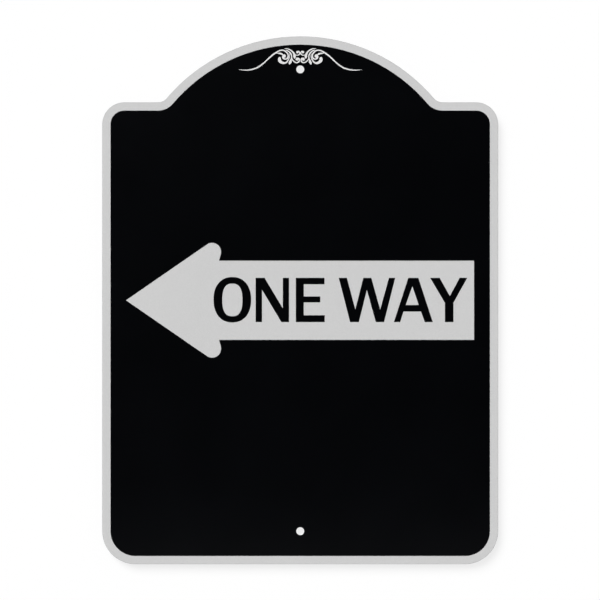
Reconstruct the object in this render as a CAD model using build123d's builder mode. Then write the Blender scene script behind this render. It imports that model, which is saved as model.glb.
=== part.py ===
from build123d import *
from math import cos, radians, sin, tan
import os

# One way road sign: a flat aluminium sheet with a raised crown at the top, silver sheeting
# over its whole face, and a black film on that, out of which the arrow and the scroll are cut.
# The sign stands upright with its face towards -Y, X across and Z up. The origin is on the back
# face, midway between the two bolt holes. Lengths are in millimetres and angles in degrees.

# Aluminium sheet
sheet_width = 457.2
sheet_height = 609.6
sheet_thickness = 1.6
bottom_corner_radius = 38.1
edge_break = 0.3

# Raised crown: an arc that springs from two flat shoulders, one each side of it
shoulder_drop = 76.2
shoulder_length = 70.5
shoulder_corner_radius = 25.4
crown_foot_radius = 12.7

# Bolt holes, one under the crown and one above the bottom edge
bolt_hole_diameter = 9.0
bolt_hole_edge_distance = 38.1

# Films on the face
sheeting_thickness = 0.18
overlay_thickness = 0.08
border_width = 9.525
film_hole_setback = 0.2

# Arrow, pointing to the left as the face is seen
arrow_tip_margin = 17.9
arrow_tail_margin = 18.3
arrow_shaft_height = 91.5
arrow_head_half_angle = 34.6
arrow_barb_overhang = 20.6
arrow_barb_radius = 10.4
arrow_barb_slant = 15.0

# Scroll under the crown. Its left half is drawn on squared paper, 50 squares wide and 17 high,
# that has its zero on the sign's centreline, level with the scroll's outer tips
scroll_half_width = 72.5
scroll_top_margin = 3.9
scroll_squares_wide = 50
scroll_squares_high = 17

# Strokes of the left half: across, up and width at points along each stroke, in squares
scroll_strokes = {
    "whip": [
        (-49.4, -0.1, 0.1),
        (-47.2, -0.4, 0.4),
        (-44.6, -0.6, 0.7),
        (-41.8, -0.6, 0.9),
        (-38.6, -0.1, 1.0),
        (-35.2, 0.9, 1.1),
        (-31.7, 2.9, 1.1),
        (-28.0, 5.9, 1.0),
        (-24.4, 9.4, 1.1),
        (-21.0, 12.2, 1.2),
        (-18.2, 14.0, 1.1),
        (-15.6, 15.1, 1.0),
        (-13.0, 15.0, 1.0),
        (-10.9, 13.5, 1.1),
        (-9.6, 11.2, 1.1),
        (-10.0, 9.2, 1.1),
        (-11.8, 8.1, 1.0),
        (-13.4, 8.8, 1.2),
        (-13.9, 10.2, 1.2),
    ],
    "bud": [(-19.6, 12.9, 0.4), (-17.2, 12.8, 0.9), (-15.5, 12.5, 1.4), (-14.0, 11.7, 1.0)],
    "crescent": [
        (-16.5, 8.7, 2.2),
        (-16.3, 6.9, 2.5),
        (-14.6, 5.4, 2.0),
        (-12.8, 5.0, 1.6),
        (-11.2, 5.5, 1.2),
        (-10.0, 6.8, 1.0),
        (-8.9, 8.9, 0.7),
        (-8.5, 11.0, 0.5),
        (-9.2, 12.8, 0.2),
    ],
    "outer_plume": [
        (-12.6, 16.4, 0.3),
        (-10.4, 16.4, 0.7),
        (-8.2, 15.6, 0.9),
        (-6.0, 13.9, 1.2),
        (-4.8, 11.9, 1.7),
        (-4.5, 10.3, 2.0),
        (-4.5, 8.9, 0.9),
    ],
    "inner_plume": [
        (-11.6, 15.4, 0.4),
        (-9.6, 14.5, 0.9),
        (-7.8, 12.8, 1.1),
        (-6.9, 10.9, 1.0),
        (-6.9, 9.0, 0.8),
    ],
    "tail_leaf": [
        (-7.0, 9.8, 0.7),
        (-7.4, 7.6, 1.2),
        (-8.0, 5.6, 2.1),
        (-8.5, 4.6, 1.5),
        (-8.6, 3.8, 0.3),
    ],
    "low_curl": [
        (-6.9, 9.2, 0.7),
        (-6.1, 7.4, 0.8),
        (-4.8, 6.1, 0.9),
        (-2.9, 5.3, 0.9),
        (-1.3, 5.9, 1.0),
        (-0.7, 7.5, 1.0),
        (-1.5, 8.9, 0.9),
    ],
    "high_curl": [
        (-3.8, 11.5, 0.6),
        (-2.5, 11.2, 0.7),
        (-1.1, 11.6, 0.8),
        (-0.4, 12.8, 0.9),
        (-0.7, 13.8, 0.8),
        (-1.5, 14.4, 0.8),
    ],
}

# Round ends of the strokes: across, up and diameter, in squares
scroll_balls = {
    "whip": (-12.8, 10.6, 2.8),
    "low_curl": (-2.5, 8.1, 2.5),
    "high_curl": (-2.2, 13.7, 2.0),
}

# Sizes that follow from the ones above
side = sheet_width / 2
top = sheet_height / 2
shoulder_level = top - shoulder_drop
crown_foot = side - shoulder_length
bolt_hole_spacing = sheet_height - 2 * bolt_hole_edge_distance
film_hole_diameter = bolt_hole_diameter + 2 * film_hole_setback
arrow_tip = border_width + arrow_tip_margin - side
arrow_tail = side - border_width - arrow_tail_margin
arrow_shaft_level = arrow_shaft_height / 2
arrow_barb_level = arrow_shaft_level + arrow_barb_overhang - arrow_barb_radius
scroll_square = scroll_half_width / scroll_squares_wide
scroll_level = top - border_width - scroll_top_margin - scroll_squares_high * scroll_square

# Planes on which the three layers start, each facing out of the front
back_plane = Plane.XZ
sheeting_plane = back_plane.offset(sheet_thickness)
overlay_plane = sheeting_plane.offset(sheeting_thickness)


def brush_stroke(points):
    """Both long edges of a stroke and its two round ends, from its centreline and its widths."""
    spine = Spline(*[(x, y) for x, y, width in points], mode=Mode.PRIVATE)
    left, right = [], []
    for x, y, width in points:
        tangent = spine.tangent_at(Vector(x, y))
        side = tangent.rotate(Axis.Z, 90) * width / 2
        left.append(Vector(x, y) + side)
        right.append(Vector(x, y) - side)
    start_cap = spine @ 0 - spine % 0 * points[0][2] / 2
    end_cap = spine @ 1 + spine % 1 * points[-1][2] / 2
    Spline(*left)
    ThreePointArc(left[-1], end_cap, right[-1])
    Spline(*reversed(right))
    ThreePointArc(right[0], start_cap, left[0])


# Outline of the sheet: a plain plate up to its shoulders, and the crown on top of it
with BuildSketch() as sheet_outline:
    with Locations((0, -top)):
        Rectangle(sheet_width, top + shoulder_level, align=(Align.CENTER, Align.MIN))
    fillet(sheet_outline.vertices().group_by(Axis.Y)[0], bottom_corner_radius)
    fillet(sheet_outline.vertices().group_by(Axis.Y)[-1], shoulder_corner_radius)
    with BuildLine():
        crown_arc = ThreePointArc((-crown_foot, shoulder_level), (0, top), (crown_foot, shoulder_level))
        Line(crown_arc @ 0, crown_arc @ 1)
    make_face()
    shoulder_points = sheet_outline.vertices().group_by(Axis.Y)[-1].sort_by(Axis.X)
    fillet(shoulder_points[1:-1], crown_foot_radius)

# Outline of the flat face, inside the broken edge
with BuildSketch() as face_outline:
    add(sheet_outline.sketch)
    offset(amount=-edge_break)

# Outline of the black field, an even border in from the edge
with BuildSketch() as black_outline:
    add(sheet_outline.sketch)
    offset(amount=-border_width)

# Arrow: its upper half is drawn and mirrored
with BuildSketch() as arrow:
    slope = radians(arrow_head_half_angle)
    tip = Vector(arrow_tip, 0)
    barb_reach = (arrow_barb_radius + arrow_barb_level * cos(slope)) / sin(slope)
    with BuildLine():
        barb = CenterArc(
            tip + Vector(barb_reach, arrow_barb_level),
            arrow_barb_radius,
            90 + arrow_head_half_angle,
            -(90 + arrow_head_half_angle + arrow_barb_slant),
        )
        barb_end = barb @ 1
        barb_lean = (barb_end.Y - arrow_shaft_level) * tan(radians(arrow_barb_slant))
        Line(tip, barb @ 0)
        Polyline(
            barb_end,
            (barb_end.X - barb_lean, arrow_shaft_level),
            (arrow_tail, arrow_shaft_level),
            (arrow_tail, 0),
        )
        mirror(about=Plane.XZ)
    make_face()

# Scroll under the crown
with BuildSketch() as scroll:
    for points in scroll_strokes.values():
        with BuildLine():
            brush_stroke([tuple(scroll_square * value for value in point) for point in points])
        make_face()
    for across, up, diameter in scroll_balls.values():
        with Locations((scroll_square * across, scroll_square * up)):
            Circle(scroll_square * diameter / 2)
    mirror(about=Plane.YZ)

# Aluminium blank with two punched bolt holes. Its outer edges are broken on both faces, and the
# holes only at the back, as the films come up to them in front
with BuildPart() as sign_blank:
    with BuildSketch(back_plane):
        add(sheet_outline.sketch)
        with GridLocations(0, bolt_hole_spacing, 1, 2):
            Circle(bolt_hole_diameter / 2, mode=Mode.SUBTRACT)
    extrude(amount=sheet_thickness)
    front, back = sign_blank.faces().filter_by(Axis.Y).sort_by(Axis.Y)
    chamfer(front.outer_wire().edges() + back.edges(), edge_break)

# Silver reflective sheeting over the whole flat face
with BuildPart() as silver_sheeting:
    with BuildSketch(sheeting_plane):
        add(face_outline.sketch)
        with GridLocations(0, bolt_hole_spacing, 1, 2):
            Circle(film_hole_diameter / 2, mode=Mode.SUBTRACT)
    extrude(amount=sheeting_thickness)

# Black film inside the border, with the arrow and the scroll cut out of it
with BuildPart() as black_overlay:
    with BuildSketch(overlay_plane):
        add(black_outline.sketch)
        add(arrow.sketch, mode=Mode.SUBTRACT)
        with Locations((0, scroll_level)):
            add(scroll.sketch, mode=Mode.SUBTRACT)
        with GridLocations(0, bolt_hole_spacing, 1, 2):
            Circle(film_hole_diameter / 2, mode=Mode.SUBTRACT)
    extrude(amount=overlay_thickness)

sign_blank.part.label = "sign_blank"
silver_sheeting.part.label = "silver_sheeting"
black_overlay.part.label = "black_overlay"

os.makedirs("parts", exist_ok=True)
export_step(sign_blank.part, "parts/sign_blank.step")
export_step(silver_sheeting.part, "parts/silver_sheeting.step")
export_step(black_overlay.part, "parts/black_overlay.step")
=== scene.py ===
"""The looks of a one way road sign: its finishes, the words on its arrow, and its stage."""

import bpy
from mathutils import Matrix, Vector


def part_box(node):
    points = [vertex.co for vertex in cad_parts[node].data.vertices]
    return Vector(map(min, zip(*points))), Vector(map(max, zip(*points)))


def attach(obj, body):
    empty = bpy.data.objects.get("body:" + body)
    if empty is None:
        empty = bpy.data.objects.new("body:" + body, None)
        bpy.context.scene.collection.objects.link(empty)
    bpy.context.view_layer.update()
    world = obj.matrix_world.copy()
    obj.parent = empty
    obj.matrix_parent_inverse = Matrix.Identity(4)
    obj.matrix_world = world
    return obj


bl_info = {
    "name": "One Way Sign",
    "version": (1, 0, 0),
    "blender": (4, 5, 0),
    "location": "3D View > Sidebar > Sign",
    "description": "Finishes a flat aluminium road sign, lays the words on its arrow and sets its stage",
    "category": "Object",
}

import math

import bmesh
import bpy
from bpy.props import FloatProperty, FloatVectorProperty, PointerProperty
from bpy.types import Operator, Panel, PropertyGroup
from mathutils import Vector

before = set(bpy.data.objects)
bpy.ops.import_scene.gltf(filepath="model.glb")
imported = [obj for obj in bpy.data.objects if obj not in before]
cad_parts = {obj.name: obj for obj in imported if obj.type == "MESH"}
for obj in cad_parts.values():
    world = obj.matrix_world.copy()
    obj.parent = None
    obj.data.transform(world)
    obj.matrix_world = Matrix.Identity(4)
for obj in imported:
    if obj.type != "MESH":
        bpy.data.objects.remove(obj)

# Places that follow from the frame, in metres
SHEETING_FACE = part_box("silver_sheeting")[0].y
FILM_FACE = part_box("black_overlay")[0].y
SIGN_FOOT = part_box("sign_blank")[0].z

# Name of the black film's finish, which the overlay and the letters share
FILM_FINISH = "opaque_black_film"

# The crown's field, which lies behind the scroll's openings: all of the sheeting that is nearer
# than CROWN_REACH to the middle of the crown's arc and higher than CROWN_FOOT
CROWN_MIDDLE = 0.1027
CROWN_REACH = 0.1922
CROWN_FOOT = 0.262

# Width of the lines that rolling leaves in the bare sheet
GRAIN_WIDTH = 0.0006

# How bright the wall and the floor look by themselves, where 1 is white. Lamps add the rest
STAGE_GLOW = 0.793

# Half the size of the wall and of the floor
WALL_REACH = 8
FLOOR_REACH = 60

# Where the camera stands, aside from the sign's middle and above it
CAMERA_ASIDE = -0.00025
CAMERA_ABOVE = 0.0003

# The words' letters, on a grid whose capitals are 100 squares high. Each outline runs round
# the letter from its foot, and counter is the hole inside it
LETTERS = {
    "n": {
        "outline": [
            (0, 0), (0, 100), (20.3, 100), (61.5, 31.2), (61.5, 100),
            (75.6, 100), (75.6, 0), (58.2, 0), (14.5, 72.9), (14.5, 0),
        ],
    },
    "e": {
        "outline": [
            (-0.1, 0), (-0.1, 100), (64.8, 100), (64.8, 85.5), (17.9, 85.5), (17.9, 58),
            (55.3, 58), (55.3, 44.5), (17.9, 44.5), (17.9, 15.4), (65.2, 15.4), (65.2, 0),
        ],
    },
    "w": {
        "outline": [
            (25.2, 0), (-0.4, 100), (18, 100), (37, 28.4), (55.2, 100), (73.3, 100), (93.2, 28.4),
            (113.1, 100), (127.3, 100), (102.1, 0), (83.2, 0), (63.2, 72.8), (45, 0),
        ],
    },
    "a": {
        "outline": [
            (-0.2, 0), (32.3, 100), (55.2, 100), (87.8, 0),
            (69.6, 0), (61, 23.8), (21.6, 23.8), (14, 0),
        ],
        "counter": [(26.6, 38.5), (41.5, 81), (56, 38.5)],
    },
    "y": {
        "outline": [
            (32.7, 0), (32.7, 43.2), (-0.8, 100), (20.8, 100), (43.9, 59),
            (66, 100), (83.3, 100), (52, 43.5), (52, 0),
        ],
    },
}

# The round letter: centre, half width, half height and squareness of its outside and its counter
ROUND_OUTSIDE = {"centre": (42.8, 50.5), "reach": (42.5, 51.3), "squareness": 2.24}
ROUND_COUNTER = {"centre": (42.8, 50.1), "reach": (22.8, 36.9), "squareness": 2.55}
ROUND_POINTS = 120

# Where each letter starts along the line, in the same squares
LETTER_STARTS = {"o": 0, "n": 95.5, "e": 186.5, "w": 284, "a": 408.5, "y": 491}
SQUARES_HIGH = 100


class SignFinishSettings(PropertyGroup):
    """Colours of the sign's three layers, as they look under plain light"""

    silver: FloatVectorProperty(
        name="Silver sheeting",
        description="Colour of the reflective sheeting in the border and the arrow",
        default=(0.604, 0.604, 0.604),
        subtype="COLOR",
        min=0,
        max=1,
    )
    scroll_silver: FloatVectorProperty(
        name="Scroll silver",
        description="Lighter colour of the sheeting under the crown, which shows in the scroll",
        default=(0.79, 0.79, 0.79),
        subtype="COLOR",
        min=0,
        max=1,
    )
    black: FloatVectorProperty(
        name="Black film",
        description="Colour of the black field and of the words",
        default=(0.0010, 0.0012, 0.0017),
        subtype="COLOR",
        min=0,
        max=1,
    )
    aluminium: FloatVectorProperty(
        name="Aluminium",
        description="Colour of the bare sheet on the back and along the edges",
        default=(0.50, 0.51, 0.525),
        subtype="COLOR",
        min=0,
        max=1,
    )
    grain_length: FloatProperty(
        name="Rolling grain length",
        description="Length of the fine lines that rolling leaves along the bare sheet",
        default=0.045,
        min=0.005,
        unit="LENGTH",
    )
    bead_size: FloatProperty(
        name="Bead size",
        description="Spacing of the fine beads in the reflective sheeting",
        default=0.0003,
        min=0.0001,
        precision=5,
        unit="LENGTH",
    )


class SignWordSettings(PropertyGroup):
    """Size and place of the words on the arrow"""

    cap_height: FloatProperty(
        name="Capital height",
        description="Height of the letters, without the round letter's small overshoot",
        default=0.05105,
        min=0.01,
        unit="LENGTH",
    )
    left_end: FloatProperty(
        name="Left end",
        description="Where the words start, across from the sign's centreline",
        default=-0.10025,
        unit="LENGTH",
    )
    baseline: FloatProperty(
        name="Baseline",
        description="Height of the letters' feet above the sign's middle",
        default=-0.02517,
        unit="LENGTH",
    )


class SignStageSettings(PropertyGroup):
    """Camera, lamps and the plain wall and floor"""

    lens: FloatProperty(
        name="Lens",
        description="Focal length of the camera",
        default=100,
        min=20,
        subtype="DISTANCE_CAMERA",
    )
    view_width: FloatProperty(
        name="View width",
        description="Width that the picture covers at the sign's face",
        default=0.69288,
        min=0.1,
        unit="LENGTH",
    )
    wall_gap: FloatProperty(
        name="Wall gap",
        description="Gap between the sign's back and the wall that takes its shadow",
        default=0.010,
        min=0.001,
        unit="LENGTH",
    )
    floor_drop: FloatProperty(
        name="Floor drop",
        description="How far the floor lies below the sign's foot",
        default=0.45,
        min=0.05,
        unit="LENGTH",
    )
    card_distance: FloatProperty(
        name="Dark card distance",
        description="How far in front of the sign the dark card stands, which only reflections show",
        default=2.1,
        min=1,
        unit="LENGTH",
    )
    key_strength: FloatProperty(
        name="Key lamp",
        description="Strength of the lamp in front of the sign, from above",
        default=3.32,
        min=0,
    )
    back_strength: FloatProperty(
        name="Back lamp",
        description="Strength of the lamp behind the sign",
        default=2.4,
        min=0,
    )
    fill_strength: FloatProperty(
        name="Fill",
        description="Even light from all sides",
        default=0.367,
        min=0,
    )


def new_material(name):
    """An empty node material with its shader and output, and its node tree."""
    material = bpy.data.materials.new(name)
    material.use_nodes = True
    tree = material.node_tree
    tree.nodes.clear()
    output = tree.nodes.new("ShaderNodeOutputMaterial")
    shader = tree.nodes.new("ShaderNodeBsdfPrincipled")
    tree.links.new(shader.outputs["BSDF"], output.inputs["Surface"])
    return material, tree, shader


def object_point(tree, scale=(1, 1, 1)):
    """Places on the object itself, in metres, stretched by scale along X, Y and Z."""
    place = tree.nodes.new("ShaderNodeTexCoord")
    stretch = tree.nodes.new("ShaderNodeMapping")
    stretch.inputs["Scale"].default_value = scale
    tree.links.new(place.outputs["Object"], stretch.inputs["Vector"])
    return stretch.outputs["Vector"]


def noise(tree, point, scale, detail=2.0, roughness=0.5):
    """Value of a noise pattern with scale cells to the metre."""
    pattern = tree.nodes.new("ShaderNodeTexNoise")
    pattern.inputs["Scale"].default_value = scale
    pattern.inputs["Detail"].default_value = detail
    pattern.inputs["Roughness"].default_value = roughness
    tree.links.new(point, pattern.inputs["Vector"])
    return pattern.outputs["Fac"]


def spread(tree, value, low, high, start=0.3, end=0.7):
    """Value brought from the range start to end into the range low to high."""
    fit = tree.nodes.new("ShaderNodeMapRange")
    fit.inputs["From Min"].default_value = start
    fit.inputs["From Max"].default_value = end
    fit.inputs["To Min"].default_value = low
    fit.inputs["To Max"].default_value = high
    tree.links.new(value, fit.inputs["Value"])
    return fit.outputs["Result"]


def tinted(tree, colour, value):
    """Colour times value, for a finish that is lighter and darker from place to place."""
    tint = tree.nodes.new("ShaderNodeVectorMath")
    tint.operation = "SCALE"
    if isinstance(colour, bpy.types.NodeSocket):
        tree.links.new(colour, tint.inputs[0])
    else:
        tint.inputs[0].default_value = colour
    tree.links.new(value, tint.inputs["Scale"])
    return tint.outputs["Vector"]


def either(tree, share, first, second):
    """The first colour where share is 0, the second where it is 1."""
    mix = tree.nodes.new("ShaderNodeMix")
    mix.data_type = "RGBA"
    mix.inputs["A"].default_value = (*first, 1)
    mix.inputs["B"].default_value = (*second, 1)
    tree.links.new(share, mix.inputs["Factor"])
    return mix.outputs["Result"]


def math_node(tree, operation, first, second):
    """Result of one sum on two values, where the second may be a plain number."""
    sum_node = tree.nodes.new("ShaderNodeMath")
    sum_node.operation = operation
    tree.links.new(first, sum_node.inputs[0])
    if isinstance(second, (int, float)):
        sum_node.inputs[1].default_value = second
    else:
        tree.links.new(second, sum_node.inputs[1])
    return sum_node.outputs["Value"]


def product(tree, first, second):
    """Two values multiplied, where the second may be a plain number."""
    return math_node(tree, "MULTIPLY", first, second)


def raised(tree, height, depth, below=None):
    """Surface normal of a relief that is depth metres deep, on top of the relief below it."""
    bump = tree.nodes.new("ShaderNodeBump")
    bump.inputs["Strength"].default_value = 1.0
    bump.inputs["Distance"].default_value = depth
    tree.links.new(height, bump.inputs["Height"])
    if below is not None:
        tree.links.new(below, bump.inputs["Normal"])
    return bump.outputs["Normal"]


def sheared_edge(tree):
    """1 on the cut edges of the sheet and on the walls of its holes, 0 on its two flat faces."""
    place = tree.nodes.new("ShaderNodeTexCoord")
    parts = tree.nodes.new("ShaderNodeSeparateXYZ")
    tree.links.new(place.outputs["Normal"], parts.inputs["Vector"])
    facing = math_node(tree, "POWER", math_node(tree, "ABSOLUTE", parts.outputs["Y"], 0), 2)
    return math_node(tree, "LESS_THAN", facing, 0.8)


def rolled_aluminium(colour, grain_length):
    """Bare sheet as it leaves the rolling mill: satin, with fine upright lines, clouding and faint
    stains from handling, and rougher and darker where it was sheared and punched."""
    material, tree, shader = new_material("rolled_aluminium")
    across = 1 / GRAIN_WIDTH
    lines = noise(tree, object_point(tree, (across, across, 1 / grain_length)), 1, 4, 0.6)
    bands = noise(tree, object_point(tree, (60, 60, 2.5)), 1, 3, 0.55)
    hairs = noise(tree, object_point(tree, (4000, 4000, 12)), 1, 2, 0.5)
    clouds = noise(tree, object_point(tree), 9, 3, 0.55)
    edge = sheared_edge(tree)
    shade = product(tree, spread(tree, lines, 0.88, 1.08), spread(tree, clouds, 0.93, 1.06))
    shade = product(tree, shade, spread(tree, bands, 0.94, 1.05))
    shade = product(tree, shade, spread(tree, edge, 1, 0.62, 0, 1))
    tree.links.new(tinted(tree, colour, shade), shader.inputs["Base Color"])
    satin = product(tree, spread(tree, lines, 0.36, 0.52), spread(tree, clouds, 0.92, 1.1))
    roughness = math_node(tree, "ADD", satin, spread(tree, edge, 0, 0.16, 0, 1))
    tree.links.new(roughness, shader.inputs["Roughness"])
    relief = raised(tree, lines, 0.00002)
    tree.links.new(raised(tree, hairs, 0.000012, relief), shader.inputs["Normal"])
    shader.inputs["Metallic"].default_value = 1.0
    return material


def crown_field(tree):
    """1 on the sheeting behind the scroll, up to the crown's border, and 0 elsewhere."""
    place = tree.nodes.new("ShaderNodeTexCoord")
    from_middle = tree.nodes.new("ShaderNodeVectorMath")
    from_middle.operation = "DISTANCE"
    from_middle.inputs[1].default_value = (0, SHEETING_FACE, CROWN_MIDDLE)
    tree.links.new(place.outputs["Object"], from_middle.inputs[0])
    parts = tree.nodes.new("ShaderNodeSeparateXYZ")
    tree.links.new(place.outputs["Object"], parts.inputs["Vector"])
    under_arc = math_node(tree, "LESS_THAN", from_middle.outputs["Value"], CROWN_REACH)
    return product(tree, under_arc, math_node(tree, "GREATER_THAN", parts.outputs["Z"], CROWN_FOOT))


def reflective_sheeting(silver, scroll_silver, bead_size):
    """Silver reflective sheeting: a close bed of fine beads under a clear satin face."""
    material, tree, shader = new_material("reflective_sheeting")
    colour = either(tree, crown_field(tree), silver, scroll_silver)
    point = object_point(tree)
    beads = tree.nodes.new("ShaderNodeTexVoronoi")
    beads.inputs["Scale"].default_value = 1 / bead_size
    tree.links.new(point, beads.inputs["Vector"])
    flecks = noise(tree, point, 1400, 2, 0.6)
    clouds = noise(tree, point, 14, 2, 0.5)
    shade = product(tree, spread(tree, flecks, 0.955, 1.045), spread(tree, clouds, 0.992, 1.008))
    # Painted highlight and painted shade: each bead is painted lighter at its middle and darker towards
    # its rim, as its dome would catch and lose light
    bead_painted_light = spread(tree, beads.outputs["Distance"], 1.05, 0.93, 0.0, 0.7)
    tree.links.new(tinted(tree, colour, product(tree, shade, bead_painted_light)), shader.inputs["Base Color"])
    tree.links.new(spread(tree, flecks, 0.42, 0.54), shader.inputs["Roughness"])
    tree.links.new(raised(tree, beads.outputs["Distance"], -0.00001), shader.inputs["Normal"])
    shader.inputs["Metallic"].default_value = 0.0
    shader.inputs["Specular IOR Level"].default_value = 0.3
    return material


def black_film(colour):
    """Opaque black film: deep and even, with the faint orange peel of a film laid by hand."""
    material, tree, shader = new_material(FILM_FINISH)
    point = object_point(tree)
    peel = noise(tree, point, 420, 2, 0.5)
    grain = noise(tree, point, 5200, 1, 0.5)
    clouds = noise(tree, point, 11, 3, 0.5)
    tree.links.new(tinted(tree, colour, spread(tree, clouds, 0.9, 1.12)), shader.inputs["Base Color"])
    roughness = product(tree, spread(tree, clouds, 0.96, 1.05), spread(tree, grain, 0.2, 0.24))
    tree.links.new(roughness, shader.inputs["Roughness"])
    relief = raised(tree, peel, 0.000012)
    tree.links.new(raised(tree, grain, 0.000002, relief), shader.inputs["Normal"])
    shader.inputs["Specular IOR Level"].default_value = 0.15
    return material


def dress(node, material):
    """Gives a node of the frame its finish."""
    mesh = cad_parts[node].data
    mesh.materials.clear()
    mesh.materials.append(material)


def round_loop(centre, reach, squareness):
    """Points round a letter's curve, an ellipse that is a little squared."""
    loop = []
    for step in range(ROUND_POINTS):
        turn = 2 * math.pi * step / ROUND_POINTS
        across, up = math.cos(turn), math.sin(turn)
        loop.append((
            centre[0] + reach[0] * math.copysign(abs(across) ** (2 / squareness), across),
            centre[1] + reach[1] * math.copysign(abs(up) ** (2 / squareness), up),
        ))
    return loop


def letter_loops(letter):
    """Closed outlines of a letter: its outside, and its counter if it has one."""
    if letter == "o":
        return [round_loop(**ROUND_OUTSIDE), round_loop(**ROUND_COUNTER)]
    shape = LETTERS[letter]
    return [shape["outline"]] + ([shape["counter"]] if "counter" in shape else [])


def film_letter(name, loops, origin, square):
    """One letter cut from film: its loops laid on the sheeting from origin, as thick as the film."""
    mesh = bmesh.new()
    edges = []
    for loop in loops:
        corners = [
            mesh.verts.new((origin.x + across * square, SHEETING_FACE, origin.z + up * square))
            for across, up in loop
        ]
        edges += [mesh.edges.new((a, b)) for a, b in zip(corners, corners[1:] + corners[:1])]
    filled = bmesh.ops.triangle_fill(mesh, use_beauty=True, use_dissolve=False, edges=edges)
    faces = [item for item in filled["geom"] if isinstance(item, bmesh.types.BMFace)]
    front = bmesh.ops.extrude_face_region(mesh, geom=faces)["geom"]
    front_corners = [item for item in front if isinstance(item, bmesh.types.BMVert)]
    bmesh.ops.translate(mesh, verts=front_corners, vec=(0, FILM_FACE - SHEETING_FACE, 0))
    bmesh.ops.recalc_face_normals(mesh, faces=mesh.faces)
    data = bpy.data.meshes.new(name)
    mesh.to_mesh(data)
    mesh.free()
    piece = bpy.data.objects.new(name, data)
    bpy.context.scene.collection.objects.link(piece)
    return piece


def stage_white():
    """White wall and floor: mostly light of their own for the camera, so that shadows stay pale."""
    material = bpy.data.materials.new("stage_white")
    material.use_nodes = True
    tree = material.node_tree
    tree.nodes.clear()
    output = tree.nodes.new("ShaderNodeOutputMaterial")
    paint = tree.nodes.new("ShaderNodeBsdfDiffuse")
    paint.inputs["Color"].default_value = (0.2, 0.2, 0.2, 1)
    glow = tree.nodes.new("ShaderNodeEmission")
    glow.inputs["Color"].default_value = (1, 1, 1, 1)
    tree.links.new(seen_share(tree, STAGE_GLOW), glow.inputs["Strength"])
    both = tree.nodes.new("ShaderNodeAddShader")
    tree.links.new(paint.outputs["BSDF"], both.inputs[0])
    tree.links.new(glow.outputs["Emission"], both.inputs[1])
    clear = tree.nodes.new("ShaderNodeBsdfTransparent")
    side = tree.nodes.new("ShaderNodeNewGeometry")
    one_sided = tree.nodes.new("ShaderNodeMixShader")
    tree.links.new(side.outputs["Backfacing"], one_sided.inputs["Fac"])
    tree.links.new(both.outputs["Shader"], one_sided.inputs[1])
    tree.links.new(clear.outputs["BSDF"], one_sided.inputs[2])
    tree.links.new(one_sided.outputs["Shader"], output.inputs["Surface"])
    return material


def dark_card_paint():
    """Paint of the dark card, which gives back no light."""
    material = bpy.data.materials.new("dark_card")
    material.use_nodes = True
    tree = material.node_tree
    tree.nodes.clear()
    output = tree.nodes.new("ShaderNodeOutputMaterial")
    paint = tree.nodes.new("ShaderNodeEmission")
    paint.inputs["Strength"].default_value = 0
    tree.links.new(paint.outputs["Emission"], output.inputs["Surface"])
    return material


def seen_share(tree, share):
    """Share for what the camera sees, straight or in a reflection, and nothing for other rays."""
    path = tree.nodes.new("ShaderNodeLightPath")
    seen = path.outputs["Is Camera Ray"]
    for ray in ("Is Glossy Ray", "Is Transmission Ray"):
        seen = math_node(tree, "MAXIMUM", seen, path.outputs[ray])
    before_bounce = math_node(tree, "LESS_THAN", path.outputs["Diffuse Depth"], 0.5)
    return product(tree, product(tree, seen, before_bounce), share)


def stage_sheet(name, centre, across, up, reach, material):
    """A large flat stage piece through centre, facing across x up."""
    mesh = bmesh.new()
    corners = [
        mesh.verts.new(centre + reach * (a * across + b * up))
        for a, b in ((-1, -1), (1, -1), (1, 1), (-1, 1))
    ]
    mesh.faces.new(corners)
    mesh.normal_update()
    data = bpy.data.meshes.new(name)
    mesh.to_mesh(data)
    mesh.free()
    data.materials.append(material)
    sheet = bpy.data.objects.new(name, data)
    bpy.context.scene.collection.objects.link(sheet)
    return sheet


def sun(name, strength, heading, softness):
    """A lamp as even as daylight, shining along heading."""
    data = bpy.data.lights.new(name, "SUN")
    data.energy = strength
    data.angle = math.radians(softness)
    lamp = bpy.data.objects.new(name, data)
    lamp.rotation_euler = Vector(heading).to_track_quat("-Z", "Y").to_euler()
    bpy.context.scene.collection.objects.link(lamp)
    return lamp


class SIGN_OT_finish_blank(Operator):
    """Gives the bare aluminium sheet its rolled finish"""

    bl_idname = "sign.finish_blank"
    bl_label = "Finish the Aluminium Blank"

    def execute(self, context):
        finish = context.scene.sign_finish
        dress("sign_blank", rolled_aluminium(finish.aluminium, finish.grain_length))
        return {"FINISHED"}


class SIGN_OT_finish_sheeting(Operator):
    """Gives the silver sheeting its bed of fine beads"""

    bl_idname = "sign.finish_sheeting"
    bl_label = "Finish the Silver Sheeting"

    def execute(self, context):
        finish = context.scene.sign_finish
        sheeting = reflective_sheeting(finish.silver, finish.scroll_silver, finish.bead_size)
        dress("silver_sheeting", sheeting)
        return {"FINISHED"}


class SIGN_OT_finish_overlay(Operator):
    """Gives the black film its deep, even finish"""

    bl_idname = "sign.finish_overlay"
    bl_label = "Finish the Black Film"

    def execute(self, context):
        dress("black_overlay", black_film(context.scene.sign_finish.black))
        return {"FINISHED"}


class SIGN_OT_lay_words(Operator):
    """Lays the six film letters on the arrow"""

    bl_idname = "sign.lay_words"
    bl_label = "Lay the Words on the Arrow"

    def execute(self, context):
        words = context.scene.sign_words
        square = words.cap_height / SQUARES_HIGH
        film = bpy.data.materials.get(FILM_FINISH)
        if film is None:
            raise RuntimeError("Finish the black film before its letters are laid")
        for letter, start in LETTER_STARTS.items():
            origin = Vector((words.left_end + start * square, SHEETING_FACE, words.baseline))
            piece = film_letter(f"letter_{letter}", letter_loops(letter), origin, square)
            piece.data.materials.append(film)
            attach(piece, "root")
        return {"FINISHED"}


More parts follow.
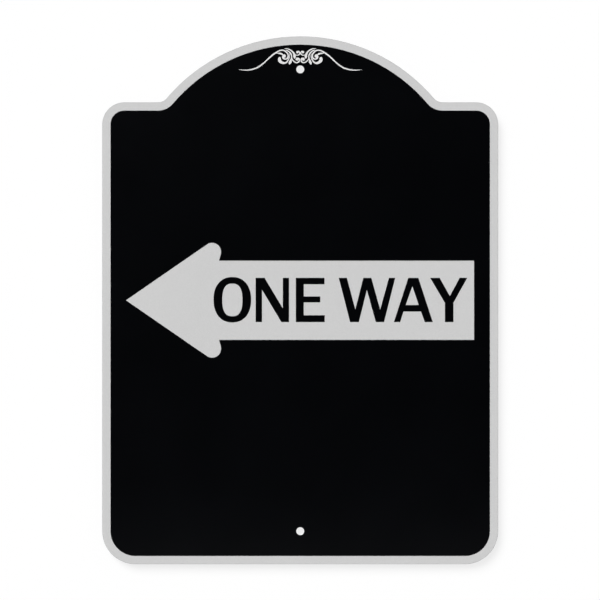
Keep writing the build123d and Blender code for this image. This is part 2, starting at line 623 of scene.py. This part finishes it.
class SIGN_OT_set_stage(Operator):
    """Sets the camera, the lamps, and the plain wall and floor"""

    bl_idname = "sign.set_stage"
    bl_label = "Set the Stage"

    def execute(self, context):
        scene = context.scene
        stage = scene.sign_stage
        self.set_camera(scene, stage)
        self.set_lamps(scene, stage)
        white = stage_white()
        wall_middle = Vector((0, stage.wall_gap, 0))
        wall = stage_sheet("wall", wall_middle, Vector((1, 0, 0)), Vector((0, 0, 1)), WALL_REACH, white)
        floor_middle = Vector((0, 0, SIGN_FOOT - stage.floor_drop))
        stage_sheet("floor", floor_middle, Vector((1, 0, 0)), Vector((0, 1, 0)), FLOOR_REACH, white)
        wall.visible_diffuse = False
        wall.visible_glossy = False
        wall.visible_shadow = False
        self.set_dark_card(stage)
        return {"FINISHED"}

    def set_dark_card(self, stage):
        """A dark card far in front, seen only in reflections, that keeps the black film black."""
        card = stage_sheet(
            "dark_card",
            Vector((0, -stage.card_distance, 0)),
            Vector((-1, 0, 0)),
            Vector((0, 0, 1)),
            2 * stage.card_distance,
            dark_card_paint(),
        )
        card.visible_camera = False
        card.visible_diffuse = False
        card.visible_shadow = False
        card.visible_transmission = False

    def set_camera(self, scene, stage):
        """A long lens square to the face, as the sign is shown."""
        data = bpy.data.cameras.new("camera")
        data.lens = stage.lens
        data.clip_start = 0.01
        distance = stage.view_width * data.lens / data.sensor_width
        camera = bpy.data.objects.new("camera", data)
        camera.location = (CAMERA_ASIDE, FILM_FACE - distance, CAMERA_ABOVE)
        camera.rotation_euler = (math.radians(90), 0, 0)
        scene.collection.objects.link(camera)
        scene.camera = camera

    def set_lamps(self, scene, stage):
        """A soft lamp from above in front, another behind, and even light all round."""
        sun("key_lamp", stage.key_strength, (0.42, 0.72, -0.56), 34)
        back_lamp = sun("back_lamp", stage.back_strength, (0.3, -0.8, -0.5), 30)
        back_lamp.data.cycles.max_bounces = 0
        world = bpy.data.worlds.new("plain_light")
        world.use_nodes = True
        tree = world.node_tree
        tree.nodes.clear()
        output = tree.nodes.new("ShaderNodeOutputWorld")
        fill = tree.nodes.new("ShaderNodeBackground")
        fill.inputs["Color"].default_value = (1, 1, 1, 1)
        seen = seen_share(tree, 1 - stage.fill_strength)
        tree.links.new(math_node(tree, "ADD", seen, stage.fill_strength), fill.inputs["Strength"])
        tree.links.new(fill.outputs["Background"], output.inputs["Surface"])
        scene.world = world
        scene.view_settings.view_transform = "Standard"


OPERATORS = (
    SIGN_OT_finish_blank,
    SIGN_OT_finish_sheeting,
    SIGN_OT_finish_overlay,
    SIGN_OT_lay_words,
    SIGN_OT_set_stage,
)
SETTINGS = {
    "sign_finish": SignFinishSettings,
    "sign_words": SignWordSettings,
    "sign_stage": SignStageSettings,
}


class SIGN_PT_panel(Panel):
    """Sizes, colours and steps of the sign"""

    bl_idname = "SIGN_PT_panel"
    bl_label = "One Way Sign"
    bl_space_type = "VIEW_3D"
    bl_region_type = "UI"
    bl_category = "Sign"

    def draw(self, context):
        for name, settings in SETTINGS.items():
            column = self.layout.column(align=True)
            for size in settings.__annotations__:
                column.prop(getattr(context.scene, name), size)
        for step in OPERATORS:
            self.layout.operator(step.bl_idname)


CLASSES = (*SETTINGS.values(), *OPERATORS, SIGN_PT_panel)


def register():
    for each in CLASSES:
        bpy.utils.register_class(each)
    for name, settings in SETTINGS.items():
        setattr(bpy.types.Scene, name, PointerProperty(type=settings))


def unregister():
    for name in SETTINGS:
        delattr(bpy.types.Scene, name)
    for each in reversed(CLASSES):
        bpy.utils.unregister_class(each)


def main():
    """Makes the looks in order."""
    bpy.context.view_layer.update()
    register()
    bpy.ops.sign.finish_blank()
    bpy.ops.sign.finish_sheeting()
    bpy.ops.sign.finish_overlay()
    bpy.ops.sign.lay_words()
    bpy.ops.sign.set_stage()


if __name__ == "__main__":
    main()
